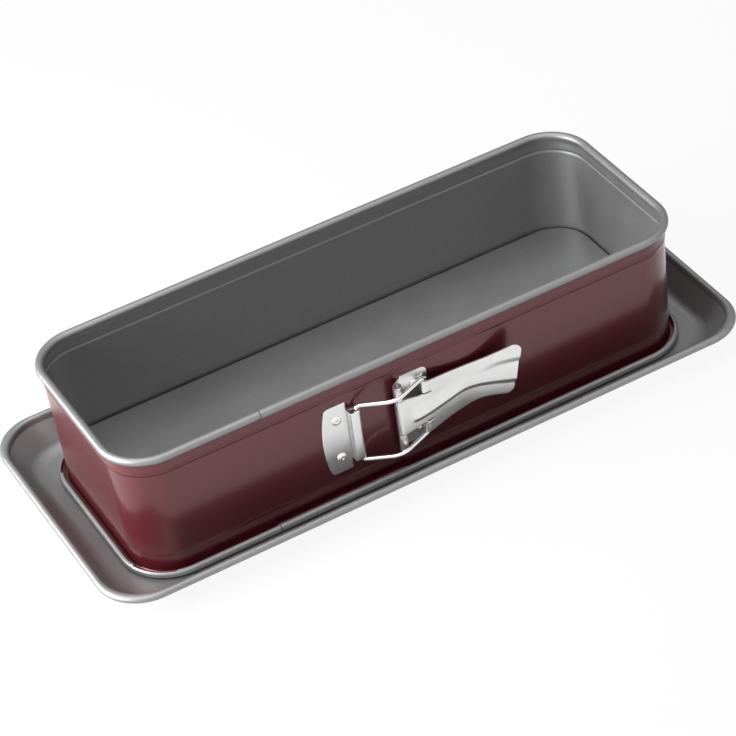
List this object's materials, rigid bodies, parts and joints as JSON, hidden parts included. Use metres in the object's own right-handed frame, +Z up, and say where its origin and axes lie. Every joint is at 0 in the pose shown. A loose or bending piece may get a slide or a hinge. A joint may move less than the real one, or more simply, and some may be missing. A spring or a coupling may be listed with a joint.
{
  "type": "springform loaf pan",
  "caption": "Long rounded loaf tin with a sprung side band, an over-centre wire clasp and a loose rimmed base tray.",
  "frame": {"origin": "centre of the base tray's footprint, on the plane of its underside", "axes": "+X along the loaf, +Z up; the clasp is on the -Y wall"},
  "size_m": [0.3498, 0.154, 0.0734],
  "materials": {
    "grey_coat": "satin dark-grey non-stick coating",
    "wine_enamel": "satin-gloss deep wine-red enamel outside, dark-grey non-stick coating inside",
    "tinned_steel": "bright tinned steel, lightly polished"
  },
  "bodies": {
    "base": {"base_tray": "grey_coat"},
    "ring": {"side_band": "wine_enamel"},
    "bail_end": {"bail_bracket": "tinned_steel", "bail_rivet_upper": "tinned_steel", "bail_rivet_lower": "tinned_steel"},
    "lever_end": {"lever_bracket": "tinned_steel", "lever_rivet_upper": "tinned_steel", "lever_rivet_lower": "tinned_steel", "lever_hinge_pin": "tinned_steel"},
    "lever": {"clamp_lever": "tinned_steel"},
    "bail": {"bail_wire": "tinned_steel"}
  },
  "joints": [
    {"name": "ring_lift", "type": "slide", "parent": "base", "child": "ring", "axis": [0, 0, 1], "range_m": [0, 0.09]},
    {"name": "lever_end_spread", "type": "slide", "parent": "ring", "child": "lever_end", "axis": [1, 0, 0], "range_m": [0, 0.00845], "deforming": ["side_band"]},
    {"name": "bail_end_spread", "type": "slide", "parent": "ring", "child": "bail_end", "axis": [-1, 0, 0], "range_m": [0, 0.00845], "deforming": ["side_band"]},
    {"name": "lever_swing", "type": "hinge", "parent": "lever_end", "child": "lever", "pos_m": [-0.0137, -0.059, 0.0375], "axis": [0, 0, -1], "range_deg": [0, 120]},
    {"name": "bail_swing", "type": "hinge", "parent": "bail_end", "child": "bail", "pos_m": [-0.0352, -0.0564, 0.0375], "axis": [0, 0, -1], "range_deg": [0, 24.22], "deforming": ["bail_wire"]}
  ],
  "couplings": [
    {"joint": "lever_end_spread", "follows": "lever_swing", "m_per_rad": 0.0040296},
    {"joint": "bail_end_spread", "follows": "lever_swing", "m_per_rad": 0.0040296},
    {"joint": "bail_swing", "follows": "lever_swing", "ratio": 0.20175}
  ]
}
